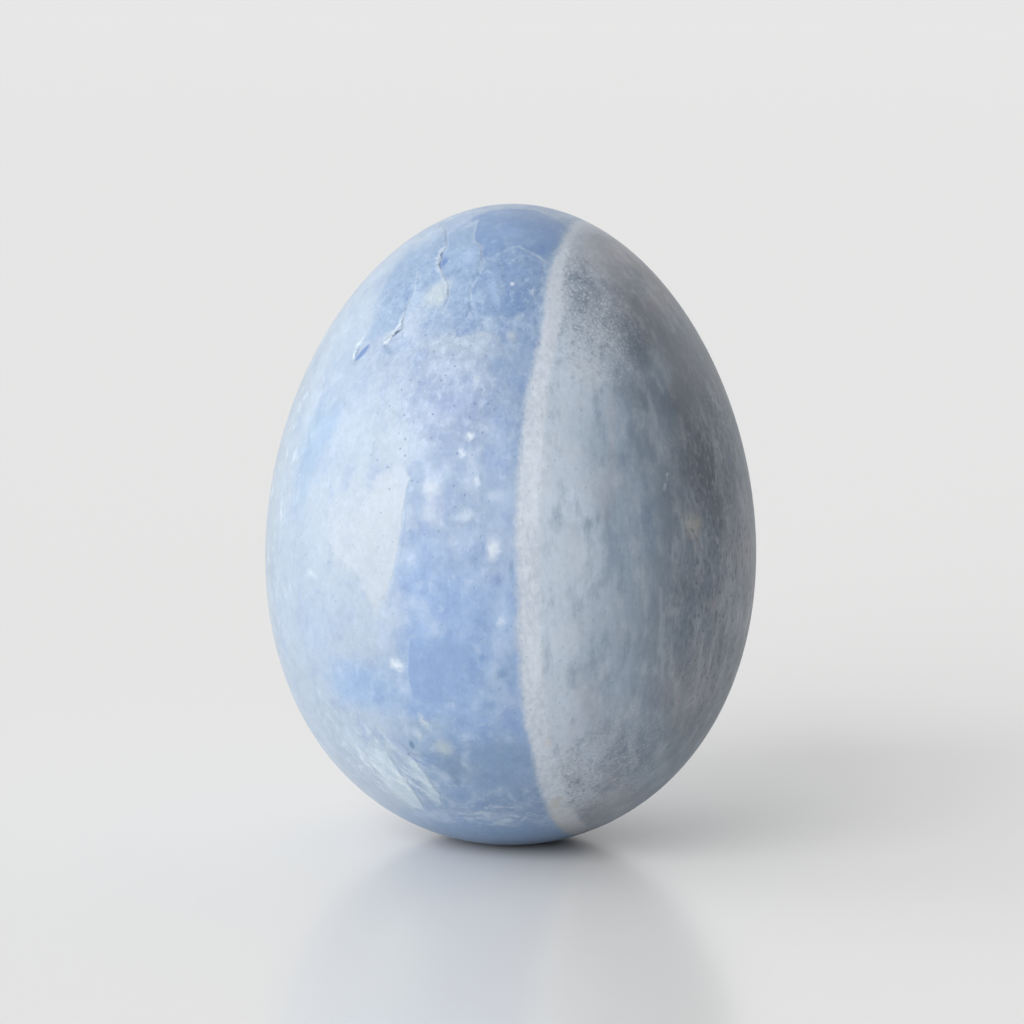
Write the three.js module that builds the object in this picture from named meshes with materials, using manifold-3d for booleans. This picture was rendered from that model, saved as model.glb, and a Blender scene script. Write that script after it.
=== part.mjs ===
// A polished blue calcite egg that stands upright on a small ground foot.
// It is one natural stone in three mineral bands: a sky blue side, a slate blue side and a pale
// vein that runs straight through between them. Each band is a solid of its own, and the flat
// faces where two bands have grown together touch with no gap.
// Millimetres, +Z up, origin at the centre of the foot. +X points square to the vein.
import * as THREE from "three";
import { mergeVertices } from "three/addons/utils/BufferGeometryUtils.js";
import Module from "manifold-3d";

// The blank, as it is ground before its foot is cut.
const EGG_LENGTH = 72; // tip to tip
const EGG_BREADTH = 55; // across the widest ring
const BELLY_DROP = 3.45; // widest ring to the middle of the length, towards the blunt end

// The foot, a flat ground on the blunt end so that the egg stands without a holder.
const FOOT_DIAMETER = 10;

// The vein, a flat sheet of pale crystal parallel to the egg's axis.
const VEIN_OFFSET = 8.5; // egg's axis to the vein's face on the sky blue side
const VEIN_THICKNESS = 2.5;

// Calcite splits along planes that meet at this angle, in degrees.
const CLEAVAGE_ANGLE = 105;

// Scars where a flake has split off the sky blue side. Each has a straight step that the flake
// tore from, and a flat floor that rises from the foot of the step to the polished surface.
// The two ends of a step are each given by the degrees round from +X and by the height above the
// foot, as a share of the finished height. The depth is at the middle of the step, and the reach
// is how far the floor runs from the step.
const FLAKE_SCARS = [
  { from: [-132, 0.86], to: [-126, 0.775], depth: 0.4, reach: 4.5 },
  { from: [-118, 0.912], to: [-115, 0.8], depth: 0.5, reach: 4 },
  { from: [-122, 0.961], to: [-106, 0.908], depth: 0.45, reach: 4.5 },
  { from: [-100.5, 0.9], to: [-98, 0.842], depth: 0.4, reach: 3.5 },
  { from: [-112, 0.216], to: [-107, 0.134], depth: 0.35, reach: 4 },
  { from: [-101, 0.19], to: [-96.5, 0.098], depth: 0.45, reach: 4.5 },
];

// Facets of the polished surface.
const SIDES = 96; // round the axis
const RINGS = 50; // from the foot to the top

// How far a cutting solid stands clear of the stone outside the cut it makes.
const CUTTER_CLEARANCE = 5;

const wasm = await Module();
wasm.setup();

// A closed three.js geometry as a solid for cutting.
function toSolid(geometry) {
  const bare = geometry.clone();
  bare.deleteAttribute("normal");
  bare.deleteAttribute("uv");
  const merged = mergeVertices(bare, 1e-4);
  return new wasm.Manifold(
    new wasm.Mesh({
      numProp: 3,
      vertProperties: merged.attributes.position.array,
      triVerts: new Uint32Array(merged.index.array),
    }),
  );
}

// A cut solid as a named mesh in one stone material.
function toMesh(solid, name, material) {
  const cut = solid.getMesh();
  const geometry = new THREE.BufferGeometry();
  geometry.setAttribute("position", new THREE.BufferAttribute(cut.vertProperties, cut.numProp));
  geometry.setIndex(new THREE.BufferAttribute(cut.triVerts, 1));
  const faceted = geometry.toNonIndexed();
  faceted.computeVertexNormals();
  const mesh = new THREE.Mesh(faceted, material);
  mesh.name = name;
  return mesh;
}

// The egg's radius at a distance above the middle of the blank, by Hügelschäffer's egg curve: an
// ellipse of the blank's length and breadth whose widest ring is moved down by BELLY_DROP.
function eggRadius(aboveMiddle) {
  const length2 = EGG_LENGTH ** 2;
  const ellipse = Math.max(0, length2 - 4 * aboveMiddle ** 2);
  const taper = length2 + 8 * BELLY_DROP * aboveMiddle + 4 * BELLY_DROP ** 2;
  return (EGG_BREADTH / 2) * Math.sqrt(ellipse / taper);
}

// The distance below the middle of the blank at which the egg curve is as wide as the foot.
// Setting the curve's radius to the foot's gives a quadratic in that distance.
function footBelowMiddle() {
  const foot2 = (FOOT_DIAMETER / 2) ** 2;
  const breadth2 = EGG_BREADTH ** 2;
  const length2 = EGG_LENGTH ** 2;
  const linear = 4 * foot2 * BELLY_DROP;
  const constant = (breadth2 * length2) / 4 - foot2 * (length2 + 4 * BELLY_DROP ** 2);
  return (linear + Math.sqrt(linear ** 2 + breadth2 * constant)) / breadth2;
}

const MIDDLE = footBelowMiddle(); // height of the blank's middle above the foot
const HEIGHT = MIDDLE + EGG_LENGTH / 2; // finished height

// A point of the polished surface, from degrees round from +X and a height above the foot.
function surfacePoint(degrees, height) {
  const angle = THREE.MathUtils.degToRad(degrees);
  const radius = eggRadius(height - MIDDLE);
  return new THREE.Vector3(radius * Math.cos(angle), radius * Math.sin(angle), height);
}

// The point of the polished surface at the same height as a given point and straight out from it.
function outToSurface(point) {
  const out = eggRadius(point.z - MIDDLE) / Math.hypot(point.x, point.y);
  return new THREE.Vector3(point.x * out, point.y * out, point.z);
}

// The polished surface's outward direction at a point on it.
function surfaceNormal(point) {
  const above = point.z - MIDDLE;
  const nudge = EGG_LENGTH / 1000;
  const slope = (eggRadius(above + nudge) - eggRadius(above - nudge)) / (2 * nudge);
  const outward = Math.hypot(point.x, point.y);
  return new THREE.Vector3(point.x / outward, point.y / outward, -slope).normalize();
}

// The whole egg: the curve from the rim of the foot to the top, turned about the axis.
// Equal steps of angle put the rings closer together towards the two ends.
function turnedEgg() {
  const profile = [new THREE.Vector2(0, 0)];
  const footAngle = Math.acos((2 * MIDDLE) / EGG_LENGTH);
  for (let ring = 0; ring < RINGS; ring++) {
    const angle = footAngle + ((Math.PI - footAngle) * ring) / RINGS;
    const above = -(EGG_LENGTH / 2) * Math.cos(angle);
    profile.push(new THREE.Vector2(eggRadius(above), MIDDLE + above));
  }
  profile[1].y = 0;
  profile.push(new THREE.Vector2(0, HEIGHT));
  return new THREE.LatheGeometry(profile, SIDES).rotateX(Math.PI / 2);
}

// The flake that one scar has lost, as a block with the slant of a cleavage crystal. One edge of
// the block lies along the foot of the step, and its lowest face is the floor of the scar.
function lostFlake({ from, to, depth, reach }) {
  const start = surfacePoint(from[0], from[1] * HEIGHT);
  const end = surfacePoint(to[0], to[1] * HEIGHT);
  const middle = outToSurface(start.clone().lerp(end, 0.5));
  const outward = surfaceNormal(middle);
  const along = end.clone().sub(start);
  const across = new THREE.Vector3().crossVectors(along, outward).normalize();
  if (across.dot(new THREE.Vector3(-middle.y, middle.x, 0)) < 0) across.negate();

  // The floor runs from the foot of the step to where it comes out at the polished surface.
  const foot = middle.clone().addScaledVector(outward, -depth);
  const floor = outToSurface(middle.clone().addScaledVector(across, reach)).sub(foot);
  const floorDirection = floor.clone().normalize();
  floor.addScaledVector(floorDirection, CUTTER_CLEARANCE);

  // The step leans back from the floor by the cleavage angle.
  const square = new THREE.Vector3().crossVectors(floorDirection, along).normalize();
  if (square.dot(outward) < 0) square.negate();
  const lean = THREE.MathUtils.degToRad(CLEAVAGE_ANGLE);
  const step = floorDirection.multiplyScalar(Math.cos(lean));
  step.addScaledVector(square, Math.sin(lean)).multiplyScalar(CUTTER_CLEARANCE);

  const centre = foot.clone().addScaledVector(floor, 0.5).addScaledVector(step, 0.5);
  const slant = new THREE.Matrix4().makeBasis(floor, along, step);
  if (slant.determinant() < 0) slant.makeBasis(floor, along.negate(), step);
  return new THREE.BoxGeometry(1, 1, 1).applyMatrix4(slant.setPosition(centre));
}

// The flat sheet that the vein fills, past the egg on every other side.
function veinSheet() {
  const breadth = EGG_BREADTH + 2 * CUTTER_CLEARANCE;
  const height = EGG_LENGTH + 2 * CUTTER_CLEARANCE;
  const sheet = new THREE.BoxGeometry(VEIN_THICKNESS, breadth, height);
  return sheet.translate(VEIN_OFFSET + VEIN_THICKNESS / 2, 0, MIDDLE);
}

// Stone finishes: a soft polish, with the vein a little rougher than the stone beside it.
function skyBlueCalcite() {
  return new THREE.MeshStandardMaterial({ color: 0x9fb9de, roughness: 0.42, metalness: 0 });
}

function paleVeinCalcite() {
  return new THREE.MeshStandardMaterial({ color: 0xc9cdd6, roughness: 0.55, metalness: 0 });
}

function slateBlueCalcite() {
  return new THREE.MeshStandardMaterial({ color: 0x7f8fa2, roughness: 0.48, metalness: 0 });
}

let egg = toSolid(turnedEgg());
for (const scar of FLAKE_SCARS) egg = egg.subtract(toSolid(lostFlake(scar)));

// One sheet both cuts out the vein and parts the two sides, so the touching faces are the same.
const sheet = toSolid(veinSheet());
const vein = egg.intersect(sheet);
const [skySide, slateSide] = egg
  .subtract(sheet)
  .decompose()
  .sort((a, b) => a.boundingBox().min[0] - b.boundingBox().min[0]);

const stoneEgg = new THREE.Group();
stoneEgg.name = "stone_egg";
stoneEgg.add(toMesh(skySide, "sky_blue_side", skyBlueCalcite()));
stoneEgg.add(toMesh(vein, "pale_vein", paleVeinCalcite()));
stoneEgg.add(toMesh(slateSide, "slate_blue_side", slateBlueCalcite()));

export default stoneEgg;
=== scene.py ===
import math

import bpy
import numpy as np
from mathutils import Matrix, Vector


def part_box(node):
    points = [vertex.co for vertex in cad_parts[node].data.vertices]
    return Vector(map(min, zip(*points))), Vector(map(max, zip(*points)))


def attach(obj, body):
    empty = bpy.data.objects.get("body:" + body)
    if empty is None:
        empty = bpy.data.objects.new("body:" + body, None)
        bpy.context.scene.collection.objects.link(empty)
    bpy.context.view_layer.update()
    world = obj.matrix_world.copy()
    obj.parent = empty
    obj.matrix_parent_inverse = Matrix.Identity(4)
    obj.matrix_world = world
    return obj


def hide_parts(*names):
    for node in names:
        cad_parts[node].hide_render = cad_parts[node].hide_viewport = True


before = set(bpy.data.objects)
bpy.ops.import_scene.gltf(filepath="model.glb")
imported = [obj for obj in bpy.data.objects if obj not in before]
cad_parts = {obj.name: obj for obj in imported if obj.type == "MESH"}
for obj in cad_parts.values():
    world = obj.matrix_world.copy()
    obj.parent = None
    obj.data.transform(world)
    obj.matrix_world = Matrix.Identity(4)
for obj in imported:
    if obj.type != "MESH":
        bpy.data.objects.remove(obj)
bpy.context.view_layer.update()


# The sky blue side. It is the larger part of one natural calcite stone, ground to an egg on a
# wheel and tumbled to a satin polish. Grinding has split a few flakes off along the crystal's
# cleavage planes, and each has left a ragged step and a shallow floor in the polished surface.

MM = 0.001
EGG_LENGTH = 72 * MM  # the blank, tip to tip
EGG_BREADTH = 55 * MM  # across its widest ring
BELLY_DROP = 3.45 * MM  # widest ring to the middle of the length, towards the blunt end
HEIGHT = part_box("sky_blue_side")[1].z  # the foot to the narrow end
MIDDLE = HEIGHT - EGG_LENGTH / 2  # height of the blank's middle above the foot
VEIN_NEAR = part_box("pale_vein")[0].x  # where the vein's two faces lie
VEIN_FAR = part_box("pale_vein")[1].x


def ray(angle, turn):
    """Unit direction from the middle of the blank: cosine of the angle along X, and its sine
    shared between up and the front by the cosine and sine of the turn round X."""
    across = np.sin(angle)
    return np.stack([np.cos(angle), -across * np.sin(turn), across * np.cos(turn)], axis=-1)


def egg_reach(direction):
    """Distance from the middle of the blank to its surface along unit directions.

    Hügelschäffer's egg curve says radius squared = breadth squared / 4 times (length squared less
    4 height squared) over (length squared plus 8 drop height plus 4 drop squared). Put on a ray it
    is a cubic in the distance, solved by Newton's steps from the ellipse that it is close to.
    """
    rise = direction[..., 2]
    spread = direction[..., 0] ** 2 + direction[..., 1] ** 2
    cubic = 8 * BELLY_DROP * spread * rise
    square = spread * (EGG_LENGTH**2 + 4 * BELLY_DROP**2) + EGG_BREADTH**2 * rise**2
    constant = (EGG_BREADTH * EGG_LENGTH) ** 2 / 4
    reach = np.sqrt(constant / square)
    for _ in range(6):
        miss = cubic * reach**3 + square * reach**2 - constant
        reach = reach - miss / (3 * cubic * reach**2 + 2 * square * reach)
    return reach


def rim_angle(offset, turn):
    """Angle from +X at which the egg's surface meets the plane x = offset, at each turn round X.

    The egg lies beyond the plane while its reach times the angle's cosine is more than the
    offset, so the angle is halved down to where it is not.
    """
    low = np.full_like(turn, 0.02)
    high = np.full_like(turn, math.pi - 0.02)
    for _ in range(40):
        middle = (low + high) / 2
        beyond = egg_reach(ray(middle, turn)) * np.cos(middle) > offset
        low = np.where(beyond, middle, low)
        high = np.where(beyond, high, middle)
    return (low + high) / 2


def surface_place(degrees, height):
    """Point of the polished surface at degrees round from +X and a height in millimetres above
    the foot, by the same egg curve, and the surface's directions there: to the right, up and out.
    """
    above = height * MM - MIDDLE
    length, taper = EGG_LENGTH**2, EGG_LENGTH**2 + 4 * BELLY_DROP**2
    span = np.array([above, above - 1e-5, above + 1e-5])
    radii = EGG_BREADTH / 2 * np.sqrt((length - 4 * span**2) / (taper + 8 * BELLY_DROP * span))
    slope = (radii[2] - radii[1]) / 2e-5
    angle = math.radians(degrees)
    out = np.array([math.cos(angle), math.sin(angle), 0])
    right = np.array([-math.sin(angle), math.cos(angle), 0])
    up = (out * slope + [0, 0, 1]) / math.hypot(slope, 1)
    return out * radii[0] + [0, 0, height * MM], right, up, np.cross(right, up)


# The ragged edge that each flake tore from, as points along it: degrees round from +X, height
# above the foot and depth of the step, both in millimetres. The floor lies to the right of the
# edge, and runs out to the polished surface at the reach given first.
FLAKE_EDGES = [
    (4.0, [(-153.6, 68.9, 0), (-146.5, 69.2, 0.08), (-129.5, 69, 0.12), (-112.4, 67.5, 0.12),
           (-113.1, 66.9, 0.25), (-109.6, 65.7, 0.28), (-106.4, 65.1, 0.16),
           (-100.2, 63.9, 0.12), (-97.9, 62.5, 0.14), (-98.4, 61.7, 0.1), (-99.6, 60.8, 0)]),
    (3.5, [(-120.6, 65.7, 0), (-114.6, 63.7, 0.07), (-113.6, 62.2, 0.08), (-113.1, 61, 0.1),
           (-112.2, 59.3, 0.25), (-115.3, 57.4, 0.22), (-116.1, 57, 0)]),
    (4.0, [(-124.9, 59.4, 0), (-125.1, 57.8, 0.1), (-127.1, 56.6, 0.25), (-125.8, 55.4, 0.2),
           (-125.3, 54.6, 0)]),
    (2.0, [(-119.7, 69.1, 0), (-119.7, 70.2, 0.06), (-107.8, 70.2, 0.08), (-102.2, 69.1, 0.06),
           (-98.8, 68.3, 0.08), (-91.7, 67.7, 0.1), (-88.8, 66.5, 0.1), (-90.8, 65.9, 0)]),
    (2.0, [(-95.6, 64.8, 0), (-92.3, 64.2, 0.06), (-89.7, 63.3, 0.08), (-90, 62, 0.08),
           (-87.4, 60.9, 0.08), (-85.3, 59.7, 0)]),
    (2.5, [(-108.3, 14.2, 0), (-107.7, 11.5, 0.1), (-106.7, 10.1, 0.12), (-105.6, 8.6, 0.12),
           (-104.8, 7.1, 0.08), (-105.9, 5.5, 0)]),
    (3.0, [(-101, 13.7, 0), (-101.8, 13, 0.14), (-100.1, 12, 0.18), (-97.9, 10.6, 0.14),
           (-97.1, 9.3, 0.12), (-95.7, 8.3, 0.1), (-96.5, 6.6, 0)]),
    (2.0, [(-130.6, 20.1, 0), (-128.4, 19.1, 0.1), (-123.6, 16.9, 0.1), (-121.3, 13.8, 0)]),
]


def waves(point):
    """A number from -1 to 1 that wanders over one to two millimetres: the mean of three sine
    waves of the position, in directions that do not line up with each other."""
    spot = point / MM
    ways = np.array([[1.9, 0.7, 2.3], [-2.9, 1.3, 3.7], [4.9, -2.1, 5.3]])
    return np.sin(spot @ ways.T + [0.4, 1.9, 3.1]).mean(axis=-1)


def flake_loss(point):
    """How far each surface point is lowered by the flakes, how far it lies to the right of the
    nearest torn edge, and how deep the step is there, all in millimetres.

    Along each stretch of an edge the nearest point is found by dropping a line on to it, and the
    waves move the edge a little to make it ragged. The step is its depth switched on across a
    fifth of a millimetre, and the floor rises in a straight line to the surface at the reach.
    """
    loss = np.zeros(point.shape[:-1])
    nearest = np.full_like(loss, 1.5)
    side = np.full_like(loss, -1.5)
    tall = np.zeros_like(loss)
    ragged_by = waves(point)
    for reach, edge in FLAKE_EDGES:
        near = np.full_like(loss, 9.0)
        right_of = np.full_like(loss, -9.0)
        depth = np.zeros_like(loss)
        for start, end in zip(edge[:-1], edge[1:]):
            a, _, _, out = surface_place(*start[:2])
            b = surface_place(*end[:2])[0]
            along = (b - a) / MM
            length = np.linalg.norm(along)
            share = np.clip((point - a) @ along / MM / length**2, 0, 1)
            away = (point - a) / MM - share[..., None] * along
            distance = np.linalg.norm(away, axis=-1)
            rightward = np.cross(along, out) / length
            rightward = rightward * (1 if rightward @ surface_place(*start[:2])[1] > 0 else -1)
            closer = distance < near
            near = np.where(closer, distance, near)
            right_of = np.where(closer, np.sign(away @ rightward) * distance, right_of)
            depth = np.where(closer, start[2] + share * (end[2] - start[2]), depth)
        right_of = right_of + 0.07 * ragged_by
        step = np.clip(right_of / 0.2 + 0.5, 0, 1)
        loss = np.maximum(loss, depth * step * np.clip(1 - near / reach, 0, 1))
        closer = (near < nearest) & (depth > 0.02)
        nearest = np.where(closer, near, nearest)
        side = np.where(closer, right_of, side)
        tall = np.where(closer, depth, tall)
    return loss, side, tall


# Panes of clearer or cloudier crystal, cut off by cleavage planes: the colour, its share, and the
# outline as degrees round from +X, height in mm, and how many mm the next side takes to fade in.
PANES = {
    "top_pane": ("#6f89ae", 0.92, [
        (-119.8, 68.7, 1.5), (-122.6, 69.8, 1.5), (-127.5, 70.8, 1), (-94.4, 71.3, 1),
        (-26.6, 71.1, 1), (-25.7, 70, 0.5), (-31.7, 69.1, 0.4), (-49.1, 67.6, 0.4),
        (-56, 66.6, 0.4), (-59.2, 66.1, 0.5), (-61.4, 66.7, 0.3), (-70.6, 67.7, 0.5),
        (-78.1, 67.4, 0.5), (-83.2, 66.7, 0.5), (-87.1, 66.3, 0.3), (-89.7, 66.7, 0.25),
        (-91.7, 67.7, 0.25), (-98.8, 68.3, 0.25), (-102.2, 69.1, 0.3), (-108.7, 70.1, 0.6),
        (-112.7, 69.3, 1)]),
    "right_pane": ("#738cb0", 0.9, [
        (-83.2, 66.7, 0.6), (-78.1, 67.4, 0.4), (-70.6, 67.7, 0.4), (-61.3, 66.8, 0.3),
        (-58.7, 66.1, 0.6), (-62.4, 63.9, 0.8), (-65, 62.4, 0.8), (-71, 61, 0.5),
        (-76.2, 61.8, 1.2), (-80, 63.4, 1.5), (-81.8, 65.2, 1.5)]),
    "left_pane": ("#7991b2", 0.9, [
        (-87.1, 66.3, 0.4), (-80.3, 66.9, 0.8), (-76.5, 64.9, 1.2), (-77, 62.4, 0.8),
        (-77.6, 60.2, 0.8), (-85.1, 60.5, 0.5), (-88.1, 62, 0.3), (-90.1, 63.3, 0.3),
        (-88.3, 64.7, 0.4)]),
    "deep_pane": ("#6c86ac", 0.85, [
        (-79.1, 63, 0.8), (-74.3, 64, 1.5), (-68.3, 64.2, 1.5), (-64.3, 63.2, 1.2),
        (-67, 61.8, 0.6), (-71.7, 60.7, 0.6), (-75.9, 60, 0.6), (-78.8, 61.2, 0.4)]),
    "flake_pane": ("#8299b6", 0.92, [
        (-122.6, 68.8, 0.5), (-115.9, 69.1, 0.5), (-106.3, 68.8, 0.5), (-98.5, 68.2, 0.25),
        (-91.5, 67.6, 0.25), (-88.7, 66.4, 0.3), (-88.3, 65.5, 0.5), (-90.1, 63.3, 0.3),
        (-88.5, 62, 0.4), (-89.1, 60.5, 1), (-94.5, 60.2, 0.8), (-97.9, 61.3, 0.3),
        (-97.4, 62.4, 0.2), (-99.5, 63.8, 0.2), (-106.4, 65.1, 0.2), (-111.8, 66.5, 0.2),
        (-111.8, 67.4, 0.3)]),
    "shoulder_pane": ("#7f96b2", 0.9, [
        (-141.5, 65.4, 1.5), (-137.7, 66.2, 1.5), (-118.7, 64.9, 0.25), (-113.8, 62.8, 0.25),
        (-112.9, 60.9, 0.25), (-112.4, 59.5, 0.25), (-114.4, 58.5, 0.6), (-120.7, 57.6, 0.6),
        (-125.4, 57, 1.5), (-128.1, 59.3, 2), (-131.6, 61.3, 2), (-136, 63.5, 2)]),
    "pale_sheet": ("#acb6c1", 0.85, [
        (-100.7, 46.1, 0.8), (-97.4, 44.2, 0.4), (-98.6, 40.6, 0.25), (-98.7, 38.3, 0.25),
        (-99.4, 35.9, 0.25), (-100.4, 33.2, 0.3), (-102.4, 31, 0.6), (-104.9, 28.9, 1.2),
        (-107.8, 30.4, 1.2), (-111.3, 32.6, 1.5), (-116.2, 33.7, 1), (-119.9, 36.3, 1.2),
        (-120.2, 38.7, 1.5), (-113.4, 39.6, 1.2), (-109, 42, 0.6), (-106.8, 44.4, 1.2)]),
    "pool_pane": ("#7d96bc", 0.9, [
        (-96.8, 27.1, 0.8), (-91.9, 27.5, 1.5), (-86.3, 27.2, 2), (-81.5, 26.2, 2),
        (-81.4, 23.3, 2), (-83.9, 21, 1.2), (-88, 19.6, 0.8), (-93.2, 19.2, 0.5),
        (-97.2, 19.9, 0.4), (-97.8, 22.5, 0.35)]),
    "low_pane": ("#7790b0", 0.9, [
        (-81.7, 15, 1.5), (-76.7, 16, 1.5), (-70.3, 15.6, 1.2), (-66.1, 13.6, 1),
        (-63.5, 10.4, 1.2), (-66.4, 9.1, 1.5), (-74.2, 9.3, 1.5), (-80, 10.6, 1.2),
        (-84, 12, 0.6), (-84.6, 14, 0.6)]),
    "ridge_pane": ("#adbdca", 0.75, [
        (-101.8, 13, 0.4), (-100.1, 12, 0.25), (-97.9, 10.6, 0.2), (-97.1, 9.3, 0.2),
        (-95.7, 8.3, 0.3), (-96.3, 6.7, 0.8), (-100.5, 6.1, 1.5), (-102.9, 7.7, 1.5),
        (-104.2, 9.8, 1.5), (-104.9, 11.5, 1.2)]),
    "fan_pane": ("#bac8d1", 0.7, [
        (-108.5, 13.9, 0.6), (-107.7, 11.5, 0.25), (-106.7, 10.1, 0.25), (-105.6, 8.6, 0.25),
        (-104.8, 7.1, 0.3), (-105.9, 5.5, 0.8), (-112.9, 5.7, 1.2), (-116.4, 6.9, 1.2),
        (-118.1, 8.5, 1.5), (-119.2, 10.3, 2), (-118.6, 12.1, 2), (-113.5, 13.8, 1.5)]),
    "back_pane": ("#8ea6c6", 0.4, [
        (112, 38, 1.5), (121, 41, 1.2), (131, 37, 0.6), (137, 30, 0.4), (139, 22, 0.5),
        (134, 15, 1), (124, 17, 1.8), (115, 24, 2)]),
    "back_sheet": ("#a6b3c2", 0.8, [
        (146, 60, 1.2), (158, 58, 0.6), (168, 52, 0.5), (171, 44, 0.6), (165, 38, 1.2),
        (156, 41, 1.8), (148, 50, 2)]),
}


FAR_AWAY = 30.0  # stands for far from every outline, in fades or millimetres
BEHIND = 12 * MM  # no outline reaches further than this behind the plane it is laid on


def inside_by(point, outline):
    """How far each surface point lies inside a closed outline, counted in fades of the nearest
    side: 0 on the side, 1 where its fade ends, and below zero outside. All is laid on the plane
    that touches the egg at the outline's middle, and counting the sides crossed gives the sign.
    The second number is how many mm the nearest crisp side is away.
    """
    places, fades = np.array(outline)[:, :2], np.array(outline)[:, 2]
    centre, right, up, out = surface_place(*places.mean(axis=0))
    axes = np.stack([right, up], axis=-1) / MM
    corners = (np.array([surface_place(*place)[0] for place in places]) - centre) @ axes
    flat = (point - centre) @ axes
    near = np.full(flat.shape[:-1], FAR_AWAY)
    seam = np.full(flat.shape[:-1], FAR_AWAY)
    inside = np.zeros(flat.shape[:-1], dtype=bool)
    for start, end, fade in zip(corners, np.roll(corners, -1, axis=0), fades):
        along = end - start
        away = flat - start
        share = np.clip(away @ along / (along @ along), 0, 1)
        distance = np.linalg.norm(away - share[..., None] * along, axis=-1)
        near = np.minimum(near, distance / fade)
        seam = np.minimum(seam, distance) if fade < 0.35 else seam
        crossed = (flat[..., 1] > start[1]) != (flat[..., 1] > end[1])
        level = away[..., 1] * along[0] / (along[1] or 1e-9)
        inside ^= crossed & (away[..., 0] < level)
    behind = (point - centre) @ out < -BEHIND
    inward = np.where(behind, -FAR_AWAY, np.where(inside, near, -near))
    return inward, np.where(behind, FAR_AWAY, seam)


def egg_point(angle, turn):
    """Points of the stone's outside on rays from the middle of the blank, with the numbers there
    that the material reads: the egg's reach, cut short by the flat foot, less the flakes lost."""
    direction = ray(angle, turn)
    reach = egg_reach(direction)
    down = np.minimum(direction[..., 2], -1e-6)
    reach = np.where(-MIDDLE / down < reach, -MIDDLE / down, reach)
    point = direction * reach[..., None] + [0, 0, MIDDLE]
    loss, edge_side, edge_depth = flake_loss(point)
    seams = np.full(reach.shape, FAR_AWAY)
    marks = {"edge_side": edge_side, "edge_depth": edge_depth, "seam": seams}
    for name, (_, _, outline) in PANES.items():
        marks[name], seam = inside_by(point, outline)
        marks["seam"] = np.minimum(marks["seam"], seam)
    return point - direction * loss[..., None] * MM, marks


def spread_lines(start, end, count, dense):
    """Places from start to end for the lines of a grid, drawn closer together in the stretches
    that dense lists as (from, to, how many times closer), by equal shares of the summed weight."""
    fine = np.linspace(start, end, 4001)
    weight = np.ones_like(fine)
    for low, high, times in dense:
        inside = (fine > low) & (fine < high)
        weight = np.where(inside, np.maximum(weight, times), weight)
    total = np.concatenate([[0], np.cumsum((weight[1:] + weight[:-1]) / 2)])
    return np.interp(np.linspace(0, total[-1], count), total, fine)


def closed_band(name, rings, first, last, marks):
    """A closed mesh from rings of points: quads between the rings, and a fan to one point at
    each end. The marks become the attributes that the stone's material reads."""
    rows, columns = rings.shape[:2]
    index = np.arange(rows * columns).reshape(rows, columns)
    after = np.roll(index, -1, axis=1)
    quads = np.stack([index[:-1], after[:-1], after[1:], index[1:]], axis=-1).reshape(-1, 4)
    head = np.stack([np.full(columns, rows * columns), after[0], index[0]], axis=-1)
    tail = np.stack([np.full(columns, rows * columns + 1), index[-1], after[-1]], axis=-1)
    points = np.concatenate([rings.reshape(-1, 3), [first, last]])
    mesh = bpy.data.meshes.new(name)
    mesh.from_pydata(points.tolist(), [], quads.tolist() + head.tolist() + tail.tolist())
    for mark_name, mark in marks.items():
        values = np.concatenate([mark.reshape(-1), [mark[0, 0], mark[-1, 0]]]).astype(np.float32)
        mesh.attributes.new(mark_name, "FLOAT", "POINT").data.foreach_set("value", values)
    mesh.polygons.foreach_set("use_smooth", np.ones(len(mesh.polygons), dtype=bool))
    mesh.set_sharp_from_angle(angle=math.radians(50))
    piece = bpy.data.objects.new(name, mesh)
    bpy.context.scene.collection.objects.link(piece)
    return piece


def stone_band(name, near, far, start_angle, end_angle, rows, dense):
    """One mineral band of the egg between two angles from +X, each an array over the turns. A
    band that ends on a vein face is closed there by a flat disc of rings towards the middle."""
    share = spread_lines(0, 1, rows, dense)[:, None]
    angle = start_angle[None, :] + share * (end_angle - start_angle)[None, :]
    rings, marks = egg_point(angle, np.broadcast_to(TURNS, angle.shape))
    first, last = egg_point(np.array([math.pi, 0.0]), np.zeros(2))[0]
    inner = np.array([0.9, 0.6, 0.3])[:, None, None]
    if near is not None:
        rings[0, :, 0] = near
        first = np.array([near, 0, MIDDLE])
        rings = np.concatenate([first + (rings[0] - first) * inner[::-1], rings])
        marks = {key: np.concatenate([mark[:1]] * 3 + [mark]) for key, mark in marks.items()}
    if far is not None:
        rings[-1, :, 0] = far
        last = np.array([far, 0, MIDDLE])
        rings = np.concatenate([rings, last + (rings[-1] - last) * inner])
        marks = {key: np.concatenate([mark] + [mark[-1:]] * 3) for key, mark in marks.items()}
    return closed_band(name, rings, first, last, marks)


# The lines of the grid are closest together where the flakes have left their steps.
TURNS = np.radians(spread_lines(0, 360, 425, [(12, 50, 6), (124, 152, 5)])[:-1])
near_rim = rim_angle(VEIN_NEAR, TURNS)
pole = np.full_like(TURNS, math.pi - 0.002)
sky_side = stone_band("sky_blue_polished", None, VEIN_NEAR, pole, near_rim, 225, [(0.5, 0.93, 4)])

# The stone's material is banded blue calcite, ground and then tumbled to a satin polish. It gives
# the eye a milky, clouded blue with broad soft highlights and no sharp reflections.
stone = bpy.data.materials.new("banded_blue_calcite")
stone.use_nodes = True
stone.node_tree.nodes.clear()


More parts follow.
